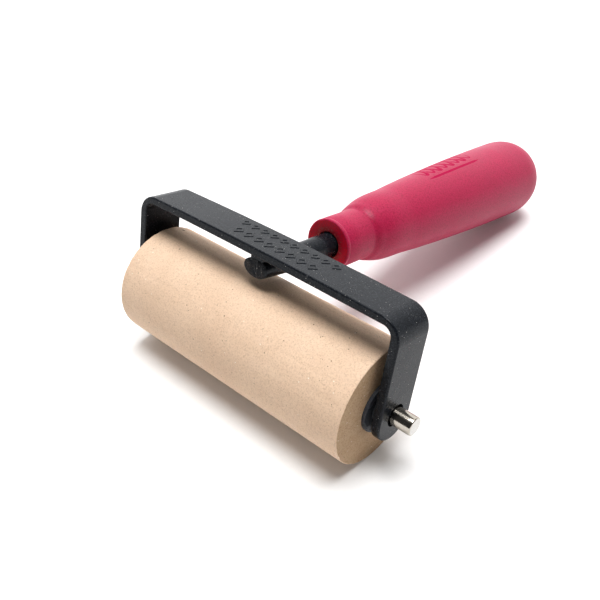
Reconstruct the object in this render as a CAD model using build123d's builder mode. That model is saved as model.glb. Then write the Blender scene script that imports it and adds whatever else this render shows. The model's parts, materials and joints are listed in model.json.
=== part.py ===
from build123d import *
from math import cos, radians, sin
import os

# Rubber brayer (ink roller), millimetres, +Z up, standing on z = 0 on its rubber and the butt of
# its handle. The roller turns about X, the handle runs back along +Y and slopes down.

# ---- driving dimensions ----
ROLLER_LENGTH = 88.9
ROLLER_RADIUS = 18.2
RUBBER_BORE = 7.0
RUBBER_RIM = 0.25
CORE_BORE = 5.6

AXLE_RADIUS = 2.78
AXLE_LENGTH = 112.6
AXLE_CHAMFER = 0.4

HUB_FLANGE_RADIUS = 7.7
HUB_FLANGE = 1.0
HUB_BOSS_RADIUS = 4.4
HUB_BOSS = 1.4
HUB_PLUG = 14.0
HUB_EDGE = 0.15

YOKE_WIDTH = 100.0
YOKE_HEIGHT = 30.05
BAR_BOW = 0.75
UNDERSIDE_HEIGHT = 27.8
UNDERSIDE_BOW = 0.35
ARM_THICKNESS = 2.8
STRIP_WIDTH = 14.3
ARM_END_DROP = 0.8
AXLE_HOLE_RADIUS = 3.4
OUTER_CORNER = 6.5
INNER_CORNER = 2.9
STRIP_EDGE = 0.5
LEAN = 11.5

HANDLE_SLOPE = 10.5
HANDLE_LENGTH = 126.0
MOUTH_BACK = 30.4
MOUTH_UP = 35.97
COLLAR_RADIUS = 8.3
COLLAR_LENGTH = 14.3
COVE_LENGTH = 0.9
SHOULDER_RADIUS = 8.85
SHOULDER_FLARE = 0.7
WAIST_AT = 18.3
WAIST_RADIUS = 9.97
THUMB_AT = 34.0
THUMB_RADIUS = 11.6
PALM_AT = 65.0
PALM_RADIUS = 13.65
BUTT_RADIUS = 15.3
BUTT_LENGTH = 14.4
BUTT_FULLNESS = 2.5
BUTT_TAPER = 0.02
MOUTH_EDGE = 0.6
RELIEF_RADIUS = 4.2
RELIEF_DEPTH = 2.5

TANG_RADIUS = 3.85
TANG_IN_HANDLE = 38.0
TANG_BORE_PLAY = 1.0
STUB_FRONT = 6.1
STUB_HALF_WIDTH = 4.5
STUB_HALF_HEIGHT = 2.9
STUB_UP = 24.3
WEB_HALF_WIDTH = 2.2

AXLE_BACK = -68.46

# ---- frames ----
# The yoke leans back over the roller: its own Z runs up the arms and its own Y along the strip.
YOKE = Plane(
    origin=(0, AXLE_BACK, ROLLER_RADIUS),
    x_dir=(1, 0, 0),
    z_dir=(0, sin(radians(LEAN)), cos(radians(LEAN))),
)
# The handle's own X runs from the collar's mouth to the butt.
HANDLE = Plane(
    origin=(0, AXLE_BACK + MOUTH_BACK, MOUTH_UP),
    x_dir=(0, cos(radians(HANDLE_SLOPE)), -sin(radians(HANDLE_SLOPE))),
    z_dir=(1, 0, 0),
)
HANDLE_AXIS = Axis(HANDLE.origin, HANDLE.x_dir)
ROLLER = Plane(origin=(0, AXLE_BACK, ROLLER_RADIUS), x_dir=(0, 1, 0), z_dir=(1, 0, 0))


def on_yoke(plane):
    """The same plane, carried into the leaning frame of the yoke."""
    return Plane(YOKE.location * plane.location)


# ---- yoke: crossbar, two arms and the tang that enters the handle, one moulding ----
half_width = YOKE_WIDTH / 2
inner_half_width = half_width - ARM_THICKNESS
arm_end = -ARM_END_DROP
tang_plane = Plane(origin=HANDLE.origin, x_dir=(1, 0, 0), z_dir=HANDLE.x_dir)

with BuildPart() as yoke:
    with BuildSketch(on_yoke(Plane.XZ)) as strip_outline:
        with BuildLine():
            ThreePointArc(
                (-half_width, YOKE_HEIGHT),
                (0, YOKE_HEIGHT + BAR_BOW),
                (half_width, YOKE_HEIGHT),
            )
            Polyline(
                (half_width, YOKE_HEIGHT),
                (half_width, arm_end),
                (inner_half_width, arm_end),
                (inner_half_width, UNDERSIDE_HEIGHT),
            )
            ThreePointArc(
                (inner_half_width, UNDERSIDE_HEIGHT),
                (0, UNDERSIDE_HEIGHT + UNDERSIDE_BOW),
                (-inner_half_width, UNDERSIDE_HEIGHT),
            )
            Polyline(
                (-inner_half_width, UNDERSIDE_HEIGHT),
                (-inner_half_width, arm_end),
                (-half_width, arm_end),
                (-half_width, YOKE_HEIGHT),
            )
        make_face()
        fillet(strip_outline.vertices().group_by(Axis.Y)[-1], OUTER_CORNER)
        fillet(strip_outline.vertices().group_by(Axis.Y)[-2], INNER_CORNER)
    extrude(amount=STRIP_WIDTH / 2, both=True)
    for side in (1, -1):
        with BuildSketch(on_yoke(Plane.YZ.offset(side * half_width))):
            with Locations((0, arm_end)):
                Circle(STRIP_WIDTH / 2)
        extrude(amount=-side * ARM_THICKNESS)
    across_strip = yoke.edges().filter_by(Axis(YOKE.origin, YOKE.y_dir))
    through_arm = yoke.edges().filter_by(Axis.X).filter_by(
        lambda edge: edge.length < 1.01 * ARM_THICKNESS
    )
    fillet(yoke.edges() - across_strip - through_arm, STRIP_EDGE)
    with BuildSketch(on_yoke(Plane.YZ)):
        Circle(AXLE_HOLE_RADIUS)
    extrude(amount=YOKE_WIDTH, both=True, mode=Mode.SUBTRACT)
    with BuildSketch(on_yoke(Plane.XZ.offset(STUB_FRONT))):
        with Locations((0, STUB_UP)):
            Ellipse(STUB_HALF_WIDTH, STUB_HALF_HEIGHT)
    with BuildSketch(tang_plane.offset(-MOUTH_BACK + STRIP_WIDTH)):
        Circle(TANG_RADIUS)
    loft()
    with BuildSketch(tang_plane.offset(-MOUTH_BACK + STRIP_WIDTH)):
        Circle(TANG_RADIUS)
    extrude(amount=MOUTH_BACK - STRIP_WIDTH + TANG_IN_HANDLE)
    with BuildSketch(on_yoke(Plane.XZ.offset(STUB_FRONT))):
        with Locations((0, STUB_UP)):
            Rectangle(
                2 * WEB_HALF_WIDTH,
                UNDERSIDE_HEIGHT + UNDERSIDE_BOW - STUB_UP + STRIP_EDGE,
                align=(Align.CENTER, Align.MIN),
            )
    extrude(amount=-(STUB_FRONT + STRIP_WIDTH / 2 - STRIP_EDGE))

# ---- handle: turned grip with a straight collar, pressed onto the tang ----
grip_end = HANDLE_LENGTH - BUTT_LENGTH
shoulder_at = COLLAR_LENGTH + COVE_LENGTH


def butt_point(share):
    """Point on the rounded butt, a superellipse, at a share of the butt's length."""
    radius = BUTT_RADIUS * (1 - share**BUTT_FULLNESS) ** (1 / BUTT_FULLNESS)
    return (grip_end + share * BUTT_LENGTH, radius)


with BuildPart() as handle:
    with BuildSketch(HANDLE):
        with BuildLine():
            Line((0, 0), (0, COLLAR_RADIUS - MOUTH_EDGE))
            RadiusArc((0, COLLAR_RADIUS - MOUTH_EDGE), (MOUTH_EDGE, COLLAR_RADIUS), MOUTH_EDGE)
            collar = Line((MOUTH_EDGE, COLLAR_RADIUS), (COLLAR_LENGTH, COLLAR_RADIUS))
            cove = TangentArc(collar @ 1, (shoulder_at, SHOULDER_RADIUS), tangent=collar % 1)
            grip = Spline(
                cove @ 1,
                (WAIST_AT, WAIST_RADIUS),
                (THUMB_AT, THUMB_RADIUS),
                (PALM_AT, PALM_RADIUS),
                (grip_end, BUTT_RADIUS),
                tangents=((1, SHOULDER_FLARE), (1, BUTT_TAPER)),
            )
            Spline(
                grip @ 1,
                butt_point(0.5),
                butt_point(0.8),
                (HANDLE_LENGTH, 0),
                tangents=(grip % 1, (0, -1)),
            )
            Line((HANDLE_LENGTH, 0), (0, 0))
        make_face()
    revolve(axis=HANDLE_AXIS)
    with BuildSketch(tang_plane):
        Circle(TANG_RADIUS)
    extrude(amount=TANG_IN_HANDLE + TANG_BORE_PLAY, mode=Mode.SUBTRACT)
    with BuildSketch(tang_plane):
        Circle(RELIEF_RADIUS)
    extrude(amount=RELIEF_DEPTH, mode=Mode.SUBTRACT)

# ---- roller: rubber on a core tube, a flanged hub in each end, and the axle pressed through ----
with BuildPart() as rubber_sleeve:
    with BuildSketch(ROLLER):
        Circle(ROLLER_RADIUS)
        Circle(RUBBER_BORE, mode=Mode.SUBTRACT)
    extrude(amount=ROLLER_LENGTH / 2, both=True)
    rims = rubber_sleeve.edges().filter_by(GeomType.CIRCLE).group_by(SortBy.RADIUS)[-1]
    fillet(rims, RUBBER_RIM)

with BuildPart() as core_tube:
    with BuildSketch(ROLLER):
        Circle(RUBBER_BORE)
        Circle(CORE_BORE, mode=Mode.SUBTRACT)
    extrude(amount=ROLLER_LENGTH / 2, both=True)


def hub(side):
    """Flanged hub for one end of the core tube; side is +1 or -1 along X."""
    end = side * ROLLER_LENGTH / 2
    with BuildPart() as piece:
        with BuildSketch(ROLLER.offset(end)):
            Circle(CORE_BORE)
        extrude(amount=-side * HUB_PLUG)
        with BuildSketch(ROLLER.offset(end)):
            Circle(HUB_FLANGE_RADIUS)
        extrude(amount=side * HUB_FLANGE)
        outer_face = piece.faces().sort_by(Axis.X)[-1 if side > 0 else 0]
        chamfer(outer_face.edges(), HUB_EDGE)
        with BuildSketch(ROLLER.offset(end + side * HUB_FLANGE)):
            Circle(HUB_BOSS_RADIUS)
        extrude(amount=side * HUB_BOSS)
        with BuildSketch(ROLLER.offset(end)):
            Circle(AXLE_RADIUS)
        extrude(amount=2 * HUB_PLUG, both=True, mode=Mode.SUBTRACT)
    return piece


right_hub = hub(1)
left_hub = hub(-1)

with BuildPart() as axle:
    with BuildSketch(ROLLER):
        Circle(AXLE_RADIUS)
    extrude(amount=AXLE_LENGTH / 2, both=True)
    chamfer(axle.edges().filter_by(GeomType.CIRCLE), AXLE_CHAMFER)

# ---- one STEP file for each piece ----
yoke.part.label = "yoke"
handle.part.label = "handle"
rubber_sleeve.part.label = "rubber_sleeve"
core_tube.part.label = "core_tube"
right_hub.part.label = "right_hub"
left_hub.part.label = "left_hub"
axle.part.label = "axle"

os.makedirs("parts", exist_ok=True)
for piece in (yoke, handle, rubber_sleeve, core_tube, right_hub, left_hub, axle):
    export_step(piece.part, f"parts/{piece.part.label}.step")
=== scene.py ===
import json
from math import cos, pi, radians, sin, tau

import bmesh
import bpy
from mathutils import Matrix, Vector, noise


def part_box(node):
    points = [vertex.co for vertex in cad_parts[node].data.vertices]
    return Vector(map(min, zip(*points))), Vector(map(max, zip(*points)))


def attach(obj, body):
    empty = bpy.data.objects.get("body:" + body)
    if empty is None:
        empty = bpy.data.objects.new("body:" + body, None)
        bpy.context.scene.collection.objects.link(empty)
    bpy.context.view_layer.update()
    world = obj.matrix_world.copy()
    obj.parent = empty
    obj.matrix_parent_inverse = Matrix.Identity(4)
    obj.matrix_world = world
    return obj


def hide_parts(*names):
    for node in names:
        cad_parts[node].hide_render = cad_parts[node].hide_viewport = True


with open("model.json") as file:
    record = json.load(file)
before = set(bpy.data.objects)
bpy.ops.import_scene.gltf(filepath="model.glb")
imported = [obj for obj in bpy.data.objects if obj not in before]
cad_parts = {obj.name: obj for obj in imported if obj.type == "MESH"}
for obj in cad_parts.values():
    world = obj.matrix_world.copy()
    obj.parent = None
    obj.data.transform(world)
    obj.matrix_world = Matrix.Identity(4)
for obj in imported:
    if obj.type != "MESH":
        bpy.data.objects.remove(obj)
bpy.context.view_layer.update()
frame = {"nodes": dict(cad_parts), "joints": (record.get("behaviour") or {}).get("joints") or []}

# Looks of the rubber brayer, in metres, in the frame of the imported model: the roller lies along X,
# the handle runs back along +Y, and the tool stands on z = 0.

# ---- sizes shared with the CAD model ----
HANDLE_SLOPE = radians(10.5)
HANDLE_LENGTH = 0.126
MOUTH_BACK = 0.0304
MOUTH_UP = 0.03597
COLLAR_RADIUS = 0.0083
COLLAR_LENGTH = 0.0143
COVE_LENGTH = 0.0009
SHOULDER_RADIUS = 0.00885
SHOULDER_FLARE = 0.7
WAIST_AT = 0.0183
WAIST_RADIUS = 0.00997
THUMB_AT = 0.034
THUMB_RADIUS = 0.0116
PALM_AT = 0.065
PALM_RADIUS = 0.01365
BUTT_RADIUS = 0.0153
BUTT_LENGTH = 0.0144
BUTT_FULLNESS = 2.5
BUTT_TAPER = 0.02
RELIEF_RADIUS = 0.0042
RELIEF_DEPTH = 0.0025
TANG_RADIUS = 0.00385
TANG_IN_HANDLE = 0.038
TANG_BORE_PLAY = 0.001

CORE_BORE = 0.0056
HUB_FLANGE = 0.0010
HUB_BOSS_RADIUS = 0.0044
HUB_PLUG = 0.014
HUB_EDGE = 0.00015
RUBBER_BORE = 0.007
RUBBER_RIM = 0.00025
AXLE_CHAMFER = 0.0004

YOKE_LEAN = radians(11.5)
YOKE_HALF_WIDTH = 0.05
YOKE_HEIGHT = 0.03005
BAR_BOW = 0.00075
STRIP_WIDTH = 0.0143
STUB_FRONT = 0.0061
STUB_UP = 0.0243
STUB_HALF_WIDTH = 0.0045
STUB_HALF_HEIGHT = 0.0029

# ---- sizes read from the frame ----
AXIS_POINT = Vector(frame["joints"][0]["pos_m"])
rubber_low, rubber_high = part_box("rubber_sleeve")
ROLLER_HALF = (rubber_high.x - rubber_low.x) / 2
ROLLER_RADIUS = (rubber_high.z - rubber_low.z) / 2
axle_low, axle_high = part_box("axle")
AXLE_HALF = (axle_high.x - axle_low.x) / 2
AXLE_RADIUS = (axle_high.z - axle_low.z) / 2
hub_low, hub_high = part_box("right_hub")
FLANGE_RADIUS = (hub_high.z - hub_low.z) / 2
HUB_END = hub_high.x

# ---- directions and places worked out from those sizes ----
ACROSS = Vector((1, 0, 0))
YOKE_UP = Vector((0, sin(YOKE_LEAN), cos(YOKE_LEAN)))
YOKE_BACK = Vector((0, cos(YOKE_LEAN), -sin(YOKE_LEAN)))
HANDLE_ALONG = Vector((0, cos(HANDLE_SLOPE), -sin(HANDLE_SLOPE)))
HANDLE_TOP = Vector((0, sin(HANDLE_SLOPE), cos(HANDLE_SLOPE)))
MOUTH = Vector((0, AXIS_POINT.y + MOUTH_BACK, MOUTH_UP))
GRIP_END = HANDLE_LENGTH - BUTT_LENGTH
GRIP_KNOTS = [
    (COLLAR_LENGTH + COVE_LENGTH, SHOULDER_RADIUS),
    (WAIST_AT, WAIST_RADIUS),
    (THUMB_AT, THUMB_RADIUS),
    (PALM_AT, PALM_RADIUS),
    (GRIP_END, BUTT_RADIUS),
]

# ---- fine shape of the turned pieces ----
AROUND = 192
GRIP_STEPS = 24
BUTT_STEPS = 32
COVE_STEPS = 8
COVE_LEAD = 0.0006
MOUTH_EDGE = 0.0005
MOUTH_BAND = 0.6
BORE_LIP = 0.00025
RING_AT = 0.0011
RING_BEVEL = 0.0001
RING_DEPTH = 0.00005
BOSS_EDGE = 0.00015
CHAMFER_STEPS = 8
RIM_RAG = 0.00022
RIM_RAG_DENSITY = 900
RIM_RAG_REACH = 1.1

# ---- raised marks on the crossbar ----
MARK_SINK = 0.0001
MARK_RISE = 0.00015
MARK_DRAFT = 0.00014
MARK_STROKE = 0.00082
MARK_SHARE = 0.46
MARK_SHARP = radians(20)
# each row: its near and far edge back along the bar's top, its left and right end
FRONT_ROW = (-0.0044, 0.0002, -0.0135, 0.0188)
FRONT_COUNT = 8
BACK_ROW = (0.0016, 0.0056, -0.0160, 0.0224)
BACK_COUNT = 10

# ---- torn end and parting lines of the tang ----
SCAR_RINGS = 22
SCAR_AROUND = 96
SCAR_SHARP = radians(40)
SCAR_LIFT = 0.0005
SCAR_FADE = 5
SCAR_DROP = 0.00008
SCAR_SINK = 0.00005
COARSE_DENSITY, COARSE_SHARE, COARSE_SQUASH = 700, 0.7, 0.6
FINE_DENSITY, FINE_SHARE, FINE_OFFSET = 1900, 0.3, 0.004
GROOVE_AT = 0.0004
GROOVE_HALF = 0.0006
GROOVE_DEPTH = 0.8
RIGHT_FACET, LEFT_FACET = 0.9, 0.45
BEAD_HALF = 0.00014
BEAD_OUT = 0.00008
BEAD_SINK = 0.0001
BEAD_START = 0.0002

# ---- printed wave on the handle ----
WAVE_START = 0.051
WAVE_END = 0.084
WAVE_TURNS = 4.0
WAVE_STEPS = 240
WAVE_RISE = 0.00003
WAVE_SINK = 0.00005
WAVE_FLAT = 0.8
WAVE_TAPER = 8
WAVE_TIP = 0.15
# phase in turns, middle and swing around the handle, half the width of the line
WAVE_LINES = (
    (0.0, radians(-15), radians(15), 0.0010),
    (0.5, radians(-15), radians(15), 0.0006),
    (0.0, radians(11), 0.0, 0.0006),
)

# dark nicks in the rubber: place and size
NICKS = (
    ((-0.04125, -0.06142, 0.03498), 0.0008),
    ((0.0230, -0.07099, 0.03622), 0.0004),
    ((-0.0320, -0.07076, 0.03625), 0.00035),
    ((-0.0020, -0.08076, 0.03162), 0.0003),
)

# ---- colours laid over the base colours, linear ----
BLACK_GRIT = (0.042, 0.047, 0.056)
BLACK_SCUFF = (0.055, 0.056, 0.060)
BLACK_HAZE = (0.24, 0.235, 0.23)
DUST = (0.55, 0.53, 0.50)
MAGENTA_GRIT = (0.25, 0.014, 0.048)
MAGENTA_SPECK = (0.75, 0.20, 0.26)
INK_THIN = (0.35, 0.0005, 0.050)
INK_FULL = (0.43, 0.0005, 0.064)
INK_WORN = (0.43, 0.012, 0.074)
# Painted shade that darkens the collar's end face towards the bore.
BORE_PAINTED_SHADE = (0.16, 0.012, 0.018)
BORE_CHIPS = (0.42, 0.11, 0.11)
RUBBER_GRIT = (0.36, 0.22, 0.13)
RUBBER_STREAK = (0.40, 0.26, 0.16)
RUBBER_DARK_SPECK = (0.16, 0.09, 0.055)
RUBBER_PALE_SPECK = (1.0, 0.95, 0.88)
RUBBER_NICK = (0.13, 0.07, 0.04)
PAPER_LOW = (0.80, 0.80, 0.80)
PAPER_HIGH = (0.84, 0.84, 0.84)
PAPER_GLOW = (1, 0.99, 0.99, 1)

# ---- stage, light and camera ----
CAMERA_TARGET = Vector((0.0158, AXIS_POINT.y, 0.0394))
CAMERA_DISTANCE = 0.2028
CAMERA_AZIMUTH = radians(41.97)
CAMERA_ELEVATION = radians(37.08)
CAMERA_LENS = 44.48
CAMERA_NEAR = 0.005
CAMERA_FAR = 50
KEY_STRENGTH = 3.05
KEY_ANGLE = radians(36)
KEY_BACK_TILT = radians(2)
AMBIENT = 0.06
BACKDROP = 1.25
BACKDROP_STARTS = -0.2
BACKDROP_FULL = 0.75
FLOOR_HALF = 3.0
FLOOR_GLOW = 0.055

FRAME_BODY = "yoke_and_handle"
ROLLER_BODY = "roller"


# ---- node helpers ----
def new_material(name):
    """An empty Principled material: (material, its node tree, its shader)."""
    material = bpy.data.materials.new(name)
    material.use_nodes = True
    tree = material.node_tree
    return material, tree, tree.nodes["Principled BSDF"]


def add(tree, kind, inputs=None, **settings):
    """A node with its settings made and its inputs set or linked."""
    made = tree.nodes.new(kind)
    for key, value in settings.items():
        setattr(made, key, value)
    for key, value in (inputs or {}).items():
        if isinstance(value, bpy.types.NodeSocket):
            tree.links.new(value, made.inputs[key])
        else:
            made.inputs[key].default_value = value
    return made


def maths(tree, operation, *values):
    """Result of one maths operation on the values."""
    inputs = dict(enumerate(values))
    return add(tree, "ShaderNodeMath", inputs, operation=operation).outputs["Value"]


def vector_maths(tree, operation, *values):
    """Number that one vector operation gives on the values."""
    inputs = dict(enumerate(values))
    return add(tree, "ShaderNodeVectorMath", inputs, operation=operation).outputs["Value"]


def place(tree, stretch=(1, 1, 1)):
    """Position on the piece in metres, stretched by a factor along each axis."""
    where = add(tree, "ShaderNodeTexCoord").outputs["Object"]
    return add(tree, "ShaderNodeMapping", {"Vector": where, "Scale": stretch}).outputs["Vector"]


def grain(tree, where, size, detail=3.0, rough=0.55):
    """Noise from 0 to 1 whose lumps are about the given size in metres."""
    inputs = {"Vector": where, "Scale": 1 / size, "Detail": detail, "Roughness": rough}
    return add(tree, "ShaderNodeTexNoise", inputs).outputs["Fac"]


def remap(tree, value, low, high, to_low=0.0, to_high=1.0):
    """The value taken smoothly from the range low..high to the range to_low..to_high."""
    inputs = {"Value": value, 1: low, 2: high, 3: to_low, 4: to_high}
    made = add(tree, "ShaderNodeMapRange", inputs, interpolation_type="SMOOTHSTEP")
    return made.outputs["Result"]


def blend(tree, share, first, second):
    """Colour mixed from first to second by the share."""
    made = add(tree, "ShaderNodeMix", {"Factor": share}, data_type="RGBA")
    for index, colour in ((6, first), (7, second)):
        if isinstance(colour, bpy.types.NodeSocket):
            tree.links.new(colour, made.inputs[index])
        else:
            made.inputs[index].default_value = (*colour, 1)
    return made.outputs[2]


def specks(tree, where, spacing, size, kept):
    """Mask of scattered specks: one in each cell of the spacing, with a share of them kept."""
    cells = add(tree, "ShaderNodeTexVoronoi", {"Vector": where, "Scale": 1 / spacing})
    near = remap(tree, cells.outputs["Distance"], size / spacing, 0.45 * size / spacing)
    split = add(tree, "ShaderNodeSeparateColor", {"Color": cells.outputs["Color"]})
    chosen = maths(tree, "LESS_THAN", split.outputs["Red"], kept)
    return maths(tree, "MULTIPLY", near, chosen)


def emboss(tree, height, depth, normal=None):
    """Normal bumped by a height of 0 to 1 that stands for the depth in metres."""
    inputs = {"Height": height, "Distance": depth, "Strength": 1.0}
    if normal is not None:
        inputs["Normal"] = normal
    return add(tree, "ShaderNodeBump", inputs).outputs["Normal"]


def scratches(tree, stretch, size):
    """Sparse fine scratches: noise drawn out along the axis with the smallest stretch."""
    lines = grain(tree, place(tree, stretch), size, detail=2.0, rough=0.6)
    return remap(tree, lines, 0.66, 0.74)


def surface(tree, shader, base, roughness, normal, specular):
    """Gives the shader its colour, roughness, bumped normal and strength of reflection."""
    tree.links.new(base, shader.inputs["Base Color"])
    tree.links.new(roughness, shader.inputs["Roughness"])
    tree.links.new(normal, shader.inputs["Normal"])
    shader.inputs["Specular IOR Level"].default_value = specular


def glow_within(shader, weight, radius, scale):
    """Lets light sink into the surface and spread under it."""
    shader.inputs["Subsurface Weight"].default_value = weight
    shader.inputs["Subsurface Radius"].default_value = radius
    shader.inputs["Subsurface Scale"].default_value = scale


# ---- materials ----
def moulded_black(name, deep, light, roughness, dusty):
    """Black moulded plastic: fine skin, faint clouding, scratches and settled dust."""
    material, tree, shader = new_material(name)
    where = place(tree)
    cloud = grain(tree, where, size=0.009, detail=4.0)
    skin = grain(tree, where, size=0.00035, detail=2.0)
    worn = scratches(tree, stretch=(1, 6, 1), size=0.0016)
    dust = specks(tree, where, spacing=0.0014, size=0.00013, kept=dusty)
    haze = specks(tree, where, spacing=0.0008, size=0.00009, kept=dusty)
    grit = grain(tree, where, size=0.0004, rough=0.7)
    base = blend(tree, cloud, deep, light)
    base = blend(tree, remap(tree, grit, 0.42, 0.75, to_high=0.9), base, BLACK_GRIT)
    base = blend(tree, worn, base, BLACK_SCUFF)
    base = blend(tree, haze, base, BLACK_HAZE)
    base = blend(tree, dust, base, DUST)
    shine = remap(tree, cloud, 0.3, 0.7, roughness - 0.04, roughness + 0.06)
    normal = emboss(tree, skin, depth=0.000012)
    normal = emboss(tree, dust, depth=0.00005, normal=normal)
    surface(tree, shader, base, shine, normal, specular=0.2)
    return material


def handle_plastic(name, light, deep, mottle, roughness):
    """Through-coloured magenta plastic with flow clouding, fine grain and handling wear."""
    material, tree, shader = new_material(name)
    where = place(tree)
    cloud = grain(tree, where, size=0.013, detail=4.0)
    flow = grain(tree, place(tree, (1, 0.25, 1)), size=0.004)
    skin = grain(tree, where, size=0.0006)
    worn = scratches(tree, stretch=(5, 1, 5), size=0.0022)
    pale = specks(tree, where, spacing=0.0011, size=0.00013, kept=mottle)
    grit = grain(tree, where, size=0.0005, rough=0.7)
    base = blend(tree, cloud, deep, light)
    base = blend(tree, remap(tree, grit, 0.38, 0.72, to_high=0.8), base, MAGENTA_GRIT)
    base = blend(tree, remap(tree, flow, 0.45, 0.8, to_high=0.25), base, deep)
    base = blend(tree, pale, base, MAGENTA_SPECK)
    shine = remap(tree, cloud, 0.3, 0.7, roughness - 0.03, roughness + 0.04)
    shine = maths(tree, "MAXIMUM", shine, worn)
    shine = maths(tree, "MINIMUM", shine, 0.6)
    normal = emboss(tree, skin, depth=0.000014)
    surface(tree, shader, base, shine, normal, specular=0.22)
    glow_within(shader, weight=0.22, radius=(1.0, 0.18, 0.25), scale=0.0025)
    return material


def mark_ink(name):
    """Deep magenta ink of the mark on the grip, a little worn and uneven."""
    material, tree, shader = new_material(name)
    where = place(tree)
    patchy = grain(tree, where, size=0.0012)
    worn = remap(tree, grain(tree, where, size=0.0005), 0.62, 0.75, to_high=0.6)
    base = blend(tree, patchy, INK_THIN, INK_FULL)
    base = blend(tree, worn, base, INK_WORN)
    shine = remap(tree, patchy, 0.3, 0.7, 0.35, 0.5)
    normal = emboss(tree, patchy, depth=0.00001)
    surface(tree, shader, base, shine, normal, specular=0.05)
    return material


def collar_face(name, light, deep):
    """Cut end of the collar: a more saturated red copy of the handle plastic as painted shade on the
    end face, with painted shade darkening it towards the bore, and chipped round the bore.
    """
    material = handle_plastic(name, light, deep, mottle=0.3, roughness=0.4)
    tree = material.node_tree
    shader = tree.nodes["Principled BSDF"]
    where = place(tree)
    from_axis = vector_maths(tree, "DISTANCE", where, tuple(MOUTH))
    near_bore = remap(tree, from_axis, RELIEF_RADIUS, 0.0068, 1.0, 0.0)
    chips = remap(tree, grain(tree, where, size=0.0005, rough=0.7), 0.5, 0.62)
    chipped = maths(tree, "MULTIPLY", near_bore, chips)
    base = shader.inputs["Base Color"].links[0].from_socket
    # Painted shade: the face darkens towards the bore's mouth.
    base = blend(tree, remap(tree, near_bore, 0, 1, to_high=0.55), base, BORE_PAINTED_SHADE)
    base = blend(tree, chipped, base, BORE_CHIPS)
    tree.links.new(base, shader.inputs["Base Color"])
    return material


def gum_rubber(name, light, dark, stretch, depth, grit, streak, pale, nicks):
    """Ground tan rubber: mottled, finely pitted, with dark and pale specks and a few nicks."""
    material, tree, shader = new_material(name)
    where = place(tree)
    cloud = grain(tree, where, size=0.016, detail=5.0, rough=0.6)
    fine = grain(tree, where, size=0.0009, rough=0.7)
    ground = grain(tree, place(tree, stretch), size=0.0011, rough=0.65)
    gritty = grain(tree, where, size=0.00045, rough=0.7)
    dark_specks = specks(tree, where, spacing=0.0021, size=0.00023, kept=0.5)
    faint_specks = specks(tree, where, spacing=0.0009, size=0.00019, kept=0.55)
    pale_specks = specks(tree, where, spacing=0.0022, size=0.00024, kept=0.4)
    base = blend(tree, remap(tree, cloud, 0.2, 0.8), dark, light)
    base = blend(tree, remap(tree, fine, 0.35, 0.8, to_high=0.35), base, dark)
    base = blend(tree, remap(tree, gritty, 0.42, 0.78, to_high=grit), base, RUBBER_GRIT)
    base = blend(tree, remap(tree, ground, 0.5, 0.75, to_high=streak), base, RUBBER_STREAK)
    base = blend(tree, remap(tree, faint_specks, 0, 1, to_high=0.45), base, RUBBER_GRIT)
    base = blend(tree, remap(tree, dark_specks, 0, 1, to_high=0.8), base, RUBBER_DARK_SPECK)
    base = blend(tree, remap(tree, pale_specks, 0, 1, to_high=pale), base, RUBBER_PALE_SPECK)
    hollow = dark_specks
    uneven = grain(tree, where, size=0.0006, detail=2.0)
    for spot, size in nicks:
        away = vector_maths(tree, "DISTANCE", where, spot)
        ragged = maths(tree, "MULTIPLY_ADD", uneven, size, away)
        nick = remap(tree, ragged, 1.35 * size, 0.9 * size)
        base = blend(tree, remap(tree, nick, 0, 1, to_high=0.85), base, RUBBER_NICK)
        hollow = maths(tree, "MAXIMUM", hollow, nick)
    shine = remap(tree, fine, 0.2, 0.8, 0.62, 0.82)
    normal = emboss(tree, ground, depth)
    normal = emboss(tree, hollow, depth=-0.00004, normal=normal)
    surface(tree, shader, base, shine, normal, specular=0.35)
    glow_within(shader, weight=0.08, radius=(1.0, 0.6, 0.35), scale=0.0008)
    return material


def distance_from_axle(tree, where):
    """How far the place is from the roller's axis, in metres."""
    reach = add(tree, "ShaderNodeSeparateXYZ", {"Vector": where}).outputs
    back = maths(tree, "SUBTRACT", reach["Y"], AXIS_POINT.y)
    up = maths(tree, "SUBTRACT", reach["Z"], AXIS_POINT.z)
    flat = add(tree, "ShaderNodeCombineXYZ", {"X": back, "Y": up}).outputs["Vector"]
    return vector_maths(tree, "LENGTH", flat)


def polished_steel(name, low_tint, high_tint, rings):
    """Bright drawn steel: fine drawing lines along the rod, or turned rings on its ends."""
    material, tree, shader = new_material(name)
    where = place(tree)
    # Random tarnish patches between the two tints; on the rod the darker tan tints are a painted
    # reflection.
    tarnish_and_reflection = grain(tree, where, size=0.003, detail=4.0)
    if rings:
        radius = distance_from_axle(tree, where)
        turned = add(tree, "ShaderNodeCombineXYZ", {"X": radius}).outputs["Vector"]
        lines = grain(tree, turned, size=0.00009, detail=2.0)
        shine = remap(tree, lines, 0.3, 0.7, 0.20, 0.34)
    else:
        lines = grain(tree, place(tree, (0.04, 1, 1)), size=0.00016, detail=2.0)
        shine = remap(tree, lines, 0.3, 0.7, 0.10, 0.20)
    base = blend(tree, tarnish_and_reflection, low_tint, high_tint)
    normal = emboss(tree, lines, depth=0.0000012)
    surface(tree, shader, base, shine, normal, specular=0.5)
    shader.inputs["Metallic"].default_value = 1.0
    return material


def floor_paper():
    """Pale matt sweep with a faint paper tooth."""
    material, tree, shader = new_material("floor_paper")
    where = place(tree)
    tooth = grain(tree, where, size=0.0012, detail=4.0)
    base = blend(tree, tooth, PAPER_LOW, PAPER_HIGH)
    tree.links.new(base, shader.inputs["Base Color"])
    tree.links.new(emboss(tree, tooth, depth=0.00004), shader.inputs["Normal"])
    shader.inputs["Emission Color"].default_value = PAPER_GLOW
    shader.inputs["Emission Strength"].default_value = FLOOR_GLOW
    shader.inputs["Roughness"].default_value = 0.9
    shader.inputs["Specular IOR Level"].default_value = 0.1
    return material


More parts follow.
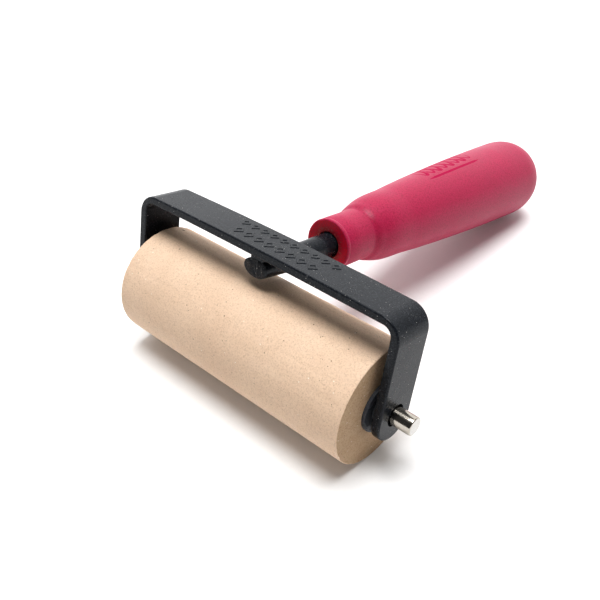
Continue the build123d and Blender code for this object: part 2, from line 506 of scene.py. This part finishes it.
# ---- mesh helpers ----
def finish_mesh(name, shape, materials, sharp=radians(28)):
    """Object from a bmesh, smooth shaded with its real edges kept sharp."""
    bmesh.ops.recalc_face_normals(shape, faces=shape.faces)
    mesh = bpy.data.meshes.new(name)
    shape.to_mesh(mesh)
    shape.free()
    mesh.shade_smooth()
    mesh.set_sharp_from_angle(angle=sharp)
    for material in materials:
        mesh.materials.append(material)
    made = bpy.data.objects.new(name, mesh)
    bpy.context.scene.collection.objects.link(made)
    return made


def stand_in(piece, body, node):
    """The piece moves with the body and takes the place of the CAD node."""
    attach(piece, body)
    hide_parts(node)


def circle(steps):
    """Angles of a full turn in equal steps."""
    return [tau * step / steps for step in range(steps)]


def skin_between(shape, first, second, closed=True):
    """Faces between two loops, or two open rows, of the same number of vertices."""
    count = len(first)
    for step in range(count if closed else count - 1):
        after = (step + 1) % count
        shape.faces.new((first[step], first[after], second[after], second[step]))


def arc(along, radius, bend, start, end, steps=6):
    """Profile points round (along, radius) at the radius bend, from start to end degrees."""
    turns = [radians(start + (end - start) * step / steps) for step in range(steps + 1)]
    return [(along + bend * cos(turn), radius + bend * sin(turn)) for turn in turns]


def flowing(knots, first_slope, last_slope, steps):
    """Points on a smooth curve through the knots: cubic pieces with shared slopes."""
    slopes = [first_slope]
    for before, here, after in zip(knots, knots[1:], knots[2:]):
        left = (here[1] - before[1]) / (here[0] - before[0])
        right = (after[1] - here[1]) / (after[0] - here[0])
        share = (here[0] - before[0]) / (after[0] - before[0])
        slopes.append(left * (1 - share) + right * share)
    slopes.append(last_slope)
    points = []
    for (start, end), (rise, fall) in zip(zip(knots, knots[1:]), zip(slopes, slopes[1:])):
        span = end[0] - start[0]
        for step in range(steps):
            t = step / steps
            height = start[1] * (1 + 2 * t) * (1 - t) ** 2 + rise * span * t * (1 - t) ** 2
            height += end[1] * t * t * (3 - 2 * t) + fall * span * t * t * (t - 1)
            points.append((start[0] + t * span, height))
    points.append(knots[-1])
    return points


def revolve(name, runs, origin, along, materials):
    """Turned piece. Each run is (material index, profile points), a point being (along, radius).
    The runs follow one another; a profile that ends where it began makes a closed ring."""
    touching = 1e-9
    out = along.orthogonal().normalized()
    side = along.cross(out)
    spokes = [cos(turn) * out + sin(turn) * side for turn in circle(AROUND)]
    shape = bmesh.new()
    rings = []
    slots = []
    closed = (Vector(runs[0][1][0]) - Vector(runs[-1][1][-1])).length < touching
    for slot, points in runs:
        for reach, radius in points[1:] if rings else points:
            slots.append(slot)
            centre = origin + along * reach
            if radius < touching:
                rings.append([shape.verts.new(centre)])
            else:
                rings.append([shape.verts.new(centre + radius * spoke) for spoke in spokes])
    if closed:
        bmesh.ops.delete(shape, geom=rings.pop(), context="VERTS")
        rings.append(rings[0])
    for first, second, slot in zip(rings, rings[1:], slots[1:]):
        for step in range(AROUND):
            after = (step + 1) % AROUND
            corners = [first[step % len(first)], first[after % len(first)]]
            corners += [second[after % len(second)], second[step % len(second)]]
            face = shape.faces.new(list(dict.fromkeys(corners)))
            face.material_index = slot
    return finish_mesh(name, shape, materials)


# ---- the handle ----
def grip_outline():
    """Outline of the grip from the shoulder to the butt."""
    return flowing(GRIP_KNOTS, SHOULDER_FLARE, BUTT_TAPER, GRIP_STEPS)


def butt_outline():
    """Outline of the rounded butt, a superellipse that closes on the axis."""
    points = []
    for step in range(1, BUTT_STEPS):
        turn = 0.5 * pi * step / BUTT_STEPS
        reach = BUTT_LENGTH * sin(turn) ** (2 / BUTT_FULLNESS)
        points.append((GRIP_END + reach, BUTT_RADIUS * cos(turn) ** (2 / BUTT_FULLNESS)))
    return points + [(HANDLE_LENGTH, 0.0)]


def build_handle(skin, face):
    """Magenta grip: bored collar, cove, flaring waist and rounded butt."""
    bore_end = TANG_IN_HANDLE + TANG_BORE_PLAY
    bore = [(bore_end, 0.0), (bore_end, TANG_RADIUS), (RELIEF_DEPTH, TANG_RADIUS)]
    bore += [(RELIEF_DEPTH, RELIEF_RADIUS)]
    bore += arc(BORE_LIP, RELIEF_RADIUS + BORE_LIP, BORE_LIP, -90, -180)
    flat = COLLAR_RADIUS - MOUTH_EDGE
    end_face = [bore[-1], (0.0, flat - MOUTH_BAND * MOUTH_EDGE), (0.0, flat)]
    collar = arc(MOUTH_EDGE, flat, MOUTH_EDGE, 180, 90) + [
        (RING_AT, COLLAR_RADIUS),
        (RING_AT + RING_BEVEL, COLLAR_RADIUS - RING_DEPTH),
        (RING_AT + 2 * RING_BEVEL, COLLAR_RADIUS - RING_DEPTH),
        (RING_AT + 3 * RING_BEVEL, COLLAR_RADIUS),
        (0.5 * COLLAR_LENGTH, COLLAR_RADIUS),
    ]
    cove = [(COLLAR_LENGTH - COVE_LEAD, COLLAR_RADIUS), GRIP_KNOTS[0]]
    collar += flowing(cove, 0.0, SHOULDER_FLARE, COVE_STEPS)
    grip = grip_outline()
    butt = [grip[-1]] + butt_outline()
    runs = [(1, bore), (1, end_face), (0, collar), (0, grip), (0, butt)]
    handle = revolve("grip", runs, MOUTH, HANDLE_ALONG, [skin, face])
    stand_in(handle, FRAME_BODY, "handle")


def grip_radius(reach, outline):
    """Radius of the grip's outline at a reach along the handle."""
    before = outline[0]
    for here in outline[1:]:
        if reach <= here[0]:
            share = (reach - before[0]) / (here[0] - before[0])
            return before[1] + share * (here[1] - before[1])
        before = here
    return outline[-1][1]


def build_handle_mark(deep):
    """Generic wave printed along the top of the grip: two crossing ribbons and a base line."""
    outline = grip_outline()
    length = WAVE_END - WAVE_START
    across_ribbon = (
        (-1, -WAVE_SINK),
        (-WAVE_FLAT, WAVE_RISE),
        (WAVE_FLAT, WAVE_RISE),
        (1, -WAVE_SINK),
    )
    shape = bmesh.new()
    for phase, middle, swing, half in WAVE_LINES:
        rows = []
        for step in range(WAVE_STEPS + 1):
            share = step / WAVE_STEPS
            reach = WAVE_START + share * length
            wave = tau * (WAVE_TURNS * share + phase)
            around = middle + swing * sin(wave)
            radius = grip_radius(reach, outline)
            climb = radius * swing * cos(wave) * tau * WAVE_TURNS / length
            over = Vector((-climb, 1.0)).normalized()
            from_end = min(share, 1 - share)
            width = half * min(1.0, WAVE_TAPER * from_end + WAVE_TIP)
            row = []
            for shift, rise in across_ribbon:
                along = reach + over.x * shift * width
                turn = around + over.y * shift * width / radius
                out = HANDLE_TOP * cos(turn) + ACROSS * sin(turn)
                height = grip_radius(along, outline) + rise
                row.append(shape.verts.new(MOUTH + HANDLE_ALONG * along + out * height))
            rows.append(row)
        for first, second in zip(rows, rows[1:]):
            skin_between(shape, first, second, closed=False)
    mark = finish_mesh("handle_wave_mark", shape, [deep])
    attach(mark, FRAME_BODY)


# ---- the roller ----
def tear_rims(rubber):
    """Ragged outer rims, where the rubber was cut to length."""
    inner = ROLLER_RADIUS - RUBBER_RIM - RIM_RAG
    near_end = ROLLER_HALF - RIM_RAG_REACH * RUBBER_RIM
    for vertex in rubber.data.vertices:
        reach = vertex.co - AXIS_POINT
        if reach.yz.length > inner and abs(reach.x) > near_end:
            torn = max(0.0, noise.noise(vertex.co * RIM_RAG_DENSITY))
            out = Vector((0, reach.y, reach.z)).normalized()
            vertex.co -= out * RIM_RAG * torn


def build_rubber(side_rubber, end_rubber):
    """Rubber sleeve: ground outside, cut ends with a barely broken, slightly torn rim."""
    body = ROLLER_HALF
    inner = ROLLER_RADIUS - RUBBER_RIM
    middle = 0.5 * ROLLER_RADIUS
    right_rim = arc(body - RUBBER_RIM, inner, RUBBER_RIM, 90, 0)
    left_rim = arc(RUBBER_RIM - body, inner, RUBBER_RIM, 180, 90)
    bore = [(body, RUBBER_BORE), (-body, RUBBER_BORE)]
    left_face = [(-body, RUBBER_BORE), (-body, middle), (-body, inner)]
    outside = left_rim + [(0.0, ROLLER_RADIUS)] + right_rim
    right_face = [right_rim[-1], (body, middle), (body, RUBBER_BORE)]
    runs = [(1, bore), (1, left_face), (0, outside), (1, right_face)]
    materials = [side_rubber, end_rubber]
    rubber = revolve("gum_rubber_sleeve", runs, AXIS_POINT, ACROSS, materials)
    tear_rims(rubber)
    stand_in(rubber, ROLLER_BODY, "rubber_sleeve")


def build_hub(name, node, side, black):
    """Flanged hub: plug inside the core tube, flange on the rubber's end, boss towards the arm."""
    flange_out = ROLLER_HALF + HUB_FLANGE
    plug_in = ROLLER_HALF - HUB_PLUG
    profile = [(plug_in, AXLE_RADIUS), (plug_in, CORE_BORE), (ROLLER_HALF, CORE_BORE)]
    profile += [(ROLLER_HALF, FLANGE_RADIUS)]
    profile += arc(flange_out - HUB_EDGE, FLANGE_RADIUS - HUB_EDGE, HUB_EDGE, 90, 0)
    profile += [(flange_out, HUB_BOSS_RADIUS + 2 * BOSS_EDGE), (flange_out, HUB_BOSS_RADIUS)]
    profile += arc(HUB_END - BOSS_EDGE, HUB_BOSS_RADIUS - BOSS_EDGE, BOSS_EDGE, 90, 0)
    profile += [(HUB_END, AXLE_RADIUS), (plug_in, AXLE_RADIUS)]
    hub = revolve(name, [(0, profile)], AXIS_POINT, side * ACROSS, [black])
    stand_in(hub, ROLLER_BODY, node)


def build_axle(rod, end):
    """Steel axle with broken ends and faintly turned end faces."""
    soft = AXLE_CHAMFER
    middle = 0.5 * AXLE_RADIUS
    left = arc(soft - AXLE_HALF, AXLE_RADIUS - soft, soft, 180, 90, CHAMFER_STEPS)
    right = arc(AXLE_HALF - soft, AXLE_RADIUS - soft, soft, 90, 0, CHAMFER_STEPS)
    left_face = [(-AXLE_HALF, 0.0), (-AXLE_HALF, middle), left[0]]
    right_face = [right[-1], (AXLE_HALF, middle), (AXLE_HALF, 0.0)]
    runs = [(1, left_face), (0, left + right), (1, right_face)]
    axle = revolve("axle_rod", runs, AXIS_POINT, ACROSS, [rod, end])
    stand_in(axle, ROLLER_BODY, "axle")


# ---- marks on the crossbar ----
def on_bar(across, back, above):
    """Point above the bowed crossbar's top, in the row's frame."""
    top = YOKE_HEIGHT + BAR_BOW * (1 - (across / YOKE_HALF_WIDTH) ** 2)
    return AXIS_POINT + ACROSS * across + YOKE_BACK * back + YOKE_UP * (top + above)


def inset_corners(corners, distance):
    """The convex outline moved inwards by the distance, corner by corner."""
    moved = []
    for step, here in enumerate(corners):
        before = here - corners[step - 1]
        after = corners[(step + 1) % len(corners)] - here
        first = Vector((-before.y, before.x)).normalized()
        second = Vector((-after.y, after.x)).normalized()
        moved.append(here + (first + second) * distance / (1 + first.dot(second)))
    return moved


def raised_outline(shape, corners, stroke):
    """Raised band on the crossbar that follows the corners."""
    levels = (
        (0.0, -MARK_SINK),
        (MARK_DRAFT, MARK_RISE),
        (stroke - MARK_DRAFT, MARK_RISE),
        (stroke, -MARK_SINK),
    )
    loops = []
    for shrink, above in levels:
        outline = inset_corners(corners, shrink)
        loops.append([shape.verts.new(on_bar(spot.x, spot.y, above)) for spot in outline])
    for first, second in zip(loops, loops[1:] + loops[:1]):
        skin_between(shape, first, second)


def lozenge(across, back, half_across, half_back):
    """Corners of an upright lozenge on the crossbar's top."""
    return [
        Vector((across - half_across, back)),
        Vector((across, back - half_back)),
        Vector((across + half_across, back)),
        Vector((across, back + half_back)),
    ]


def build_bar_marks(name, row, count, black):
    """Row of generic raised lozenge outlines along the crossbar."""
    back_low, back_high, start, end = row
    pitch = (end - start) / count
    middle = (back_low + back_high) / 2
    half_back = (back_high - back_low) / 2
    shape = bmesh.new()
    for step in range(count):
        across = start + pitch * (step + 0.5)
        corners = lozenge(across, middle, MARK_SHARE * pitch, half_back)
        raised_outline(shape, corners, MARK_STROKE)
    marks = finish_mesh(name, shape, [black], MARK_SHARP)
    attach(marks, FRAME_BODY)


# ---- moulding traces on the tang ----
def scar_reach(across, rise, share):
    """How far the torn end stands out at a place on it: share is 0 in its middle, 1 at its rim."""
    coarse = Vector((across, COARSE_SQUASH * rise, 0)) * COARSE_DENSITY
    fine = Vector((across, rise, FINE_OFFSET)) * FINE_DENSITY
    torn = COARSE_SHARE * noise.noise(coarse) + FINE_SHARE * noise.noise(fine)
    groove = max(0.0, 1 - abs(across - GROOVE_AT) / GROOVE_HALF)
    facet = RIGHT_FACET if across > GROOVE_AT else LEFT_FACET
    faded = share**SCAR_FADE
    lift = SCAR_LIFT * (facet + torn - GROOVE_DEPTH * groove) * (1 - faded)
    return STUB_FRONT + max(lift, -SCAR_SINK) - SCAR_DROP * faded


def scar_point(share, turn):
    """Point of the torn end, at a share of the way from its middle to its rim."""
    across = STUB_HALF_WIDTH * share * cos(turn)
    rise = STUB_HALF_HEIGHT * share * sin(turn)
    centre = AXIS_POINT + YOKE_UP * (STUB_UP + rise) + ACROSS * across
    return centre - YOKE_BACK * scar_reach(across, rise, share)


def build_tang_scar(black):
    """Torn gate scar on the front end of the tang, under the crossbar."""
    shape = bmesh.new()
    hub_of_fan = shape.verts.new(scar_point(0.0, 0.0))
    rings = []
    for ring in range(1, SCAR_RINGS + 1):
        share = ring / SCAR_RINGS
        rings.append([shape.verts.new(scar_point(share, turn)) for turn in circle(SCAR_AROUND)])
    for step in range(SCAR_AROUND):
        after = (step + 1) % SCAR_AROUND
        shape.faces.new((hub_of_fan, rings[0][step], rings[0][after]))
    for first, second in zip(rings, rings[1:]):
        skin_between(shape, first, second)
    scar = finish_mesh("tang_gate_scar", shape, [black], SCAR_SHARP)
    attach(scar, FRAME_BODY)


def build_parting_lines(black):
    """Parting-line bead along both sides of the tang."""
    front = AXIS_POINT + YOKE_UP * STUB_UP - YOKE_BACK * (STUB_FRONT - BEAD_START)
    turn_at = MOUTH - HANDLE_ALONG * (MOUTH_BACK - STRIP_WIDTH)
    stops = ((front, STUB_HALF_WIDTH), (turn_at, TANG_RADIUS), (MOUTH, TANG_RADIUS))
    section = ((BEAD_OUT, 0.0), (-BEAD_SINK, BEAD_HALF), (-BEAD_SINK, -BEAD_HALF))
    shape = bmesh.new()
    for side in (ACROSS, -ACROSS):
        loops = []
        for centre, half in stops:
            edge = centre + side * half
            corners = [edge + side * out + HANDLE_TOP * up for out, up in section]
            loops.append([shape.verts.new(corner) for corner in corners])
        for first, second in zip(loops, loops[1:]):
            skin_between(shape, first, second)
        shape.faces.new(loops[0])
        shape.faces.new(loops[-1])
    beads = finish_mesh("tang_parting_lines", shape, [black])
    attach(beads, FRAME_BODY)


# ---- CAD pieces that keep their shape ----
def dress_cad_node(name, material):
    """The CAD node keeps its shape and takes the material."""
    piece = frame["nodes"][name]
    piece.data.materials.clear()
    piece.data.materials.append(material)


# ---- stage, light and camera ----
def build_floor():
    """Pale floor that the brayer stands on."""
    shape = bmesh.new()
    bmesh.ops.create_grid(shape, x_segments=2, y_segments=2, size=FLOOR_HALF)
    floor = finish_mesh("floor", shape, [floor_paper()])


def light_scene():
    """Soft overhead key, low ambient, and a white backdrop behind the brayer."""
    lamp = bpy.data.lights.new("key", "SUN")
    lamp.energy = KEY_STRENGTH
    lamp.angle = KEY_ANGLE
    key = bpy.data.objects.new("key", lamp)
    key.rotation_euler = (-KEY_BACK_TILT, 0, 0)
    bpy.context.scene.collection.objects.link(key)

    world = bpy.data.worlds.new("studio")
    world.use_nodes = True
    tree = world.node_tree
    way = add(tree, "ShaderNodeTexCoord").outputs["Generated"]
    behind = (-sin(CAMERA_AZIMUTH), cos(CAMERA_AZIMUTH), 0)
    facing = vector_maths(tree, "DOT_PRODUCT", way, behind)
    glow = remap(tree, facing, BACKDROP_STARTS, BACKDROP_FULL, AMBIENT, BACKDROP)
    seen = add(tree, "ShaderNodeLightPath").outputs["Is Camera Ray"]
    ground = tree.nodes["Background"]
    tree.links.new(maths(tree, "MAXIMUM", glow, seen), ground.inputs["Strength"])
    ground.inputs["Color"].default_value = (1, 1, 1, 1)
    bpy.context.scene.world = world


def place_camera():
    """Camera above and in front of the roller's right end."""
    lens = bpy.data.cameras.new("camera")
    lens.lens = CAMERA_LENS
    lens.clip_start = CAMERA_NEAR
    lens.clip_end = CAMERA_FAR
    camera = bpy.data.objects.new("camera", lens)
    level = cos(CAMERA_ELEVATION)
    side = sin(CAMERA_AZIMUTH) * level
    front = cos(CAMERA_AZIMUTH) * level
    offset = Vector((side, -front, sin(CAMERA_ELEVATION)))
    camera.location = CAMERA_TARGET + CAMERA_DISTANCE * offset
    camera.rotation_euler = (-offset).to_track_quat("-Z", "Y").to_euler()
    bpy.context.scene.collection.objects.link(camera)
    bpy.context.scene.camera = camera


# ---- the brayer ----
black = moulded_black(
    "black_plastic",
    deep=(0.005, 0.007, 0.010),
    light=(0.010, 0.012, 0.016),
    roughness=0.25,
    dusty=0.8,
)
torn_black = moulded_black(
    "torn_plastic",
    deep=(0.008, 0.008, 0.009),
    light=(0.020, 0.020, 0.022),
    roughness=0.46,
    dusty=0.9,
)
# Black plastic lifted to a dark grey: painted light on the hub faces, which catch light from the
# right.
hub_black_painted_light = moulded_black(
    "hub_plastic",
    deep=(0.070, 0.074, 0.084),
    light=(0.085, 0.090, 0.102),
    roughness=0.25,
    dusty=0.15,
)
magenta = handle_plastic(
    "handle_plastic",
    light=(0.50, 0.029, 0.098),
    deep=(0.41, 0.022, 0.077),
    mottle=0.02,
    roughness=0.40,
)
# More saturated red copy of the handle plastic: painted shade on the collar's end face, which looks
# deeper red in shade.
magenta_face_painted_shade = collar_face(
    "handle_face_painted_shade",
    light=(0.62, 0.010, 0.050),
    deep=(0.44, 0.007, 0.032),
)
deep_magenta = mark_ink("mark_ink")
tan_side = gum_rubber(
    "gum_rubber",
    light=(0.82, 0.62, 0.46),
    dark=(0.75, 0.55, 0.40),
    stretch=(0.8, 1, 1),
    depth=0.00005,
    grit=0.45,
    streak=0.08,
    pale=0.7,
    nicks=NICKS,
)
# Darker copy of the gum rubber for the cut ends: painted shade on the end faces, with their own sawn
# grain.
tan_end_painted_shade = gum_rubber(
    "gum_rubber_end_painted_shade",
    light=(0.56, 0.40, 0.26),
    dark=(0.47, 0.325, 0.20),
    stretch=(1, 0.25, 1),
    depth=0.00022,
    grit=1.0,
    streak=0.5,
    pale=0.5,
    nicks=(),
)
# Darker tan tints of the rod: a painted reflection with a tan cast, mixed in random patches.
rod_steel_painted_reflection = polished_steel(
    "axle_steel",
    low_tint=(0.42, 0.385, 0.335),
    high_tint=(0.54, 0.50, 0.445),
    rings=False,
)
end_steel = polished_steel(
    "axle_end",
    low_tint=(0.54, 0.52, 0.50),
    high_tint=(0.63, 0.62, 0.60),
    rings=True,
)

dress_cad_node("yoke", black)
dress_cad_node("core_tube", hub_black_painted_light)
build_handle(magenta, magenta_face_painted_shade)
build_rubber(tan_side, tan_end_painted_shade)
build_hub("right_hub_disc", "right_hub", 1, hub_black_painted_light)
build_hub("left_hub_disc", "left_hub", -1, hub_black_painted_light)
build_bar_marks("bar_marks_front", FRONT_ROW, FRONT_COUNT, black)
build_bar_marks("bar_marks_back", BACK_ROW, BACK_COUNT, black)
build_tang_scar(torn_black)
build_parting_lines(black)
build_handle_mark(deep_magenta)
build_axle(rod_steel_painted_reflection, end_steel)
build_floor()
light_scene()
place_camera()

bpy.context.scene.view_settings.view_transform = "Standard"
bpy.context.scene.view_settings.look = "Medium High Contrast"
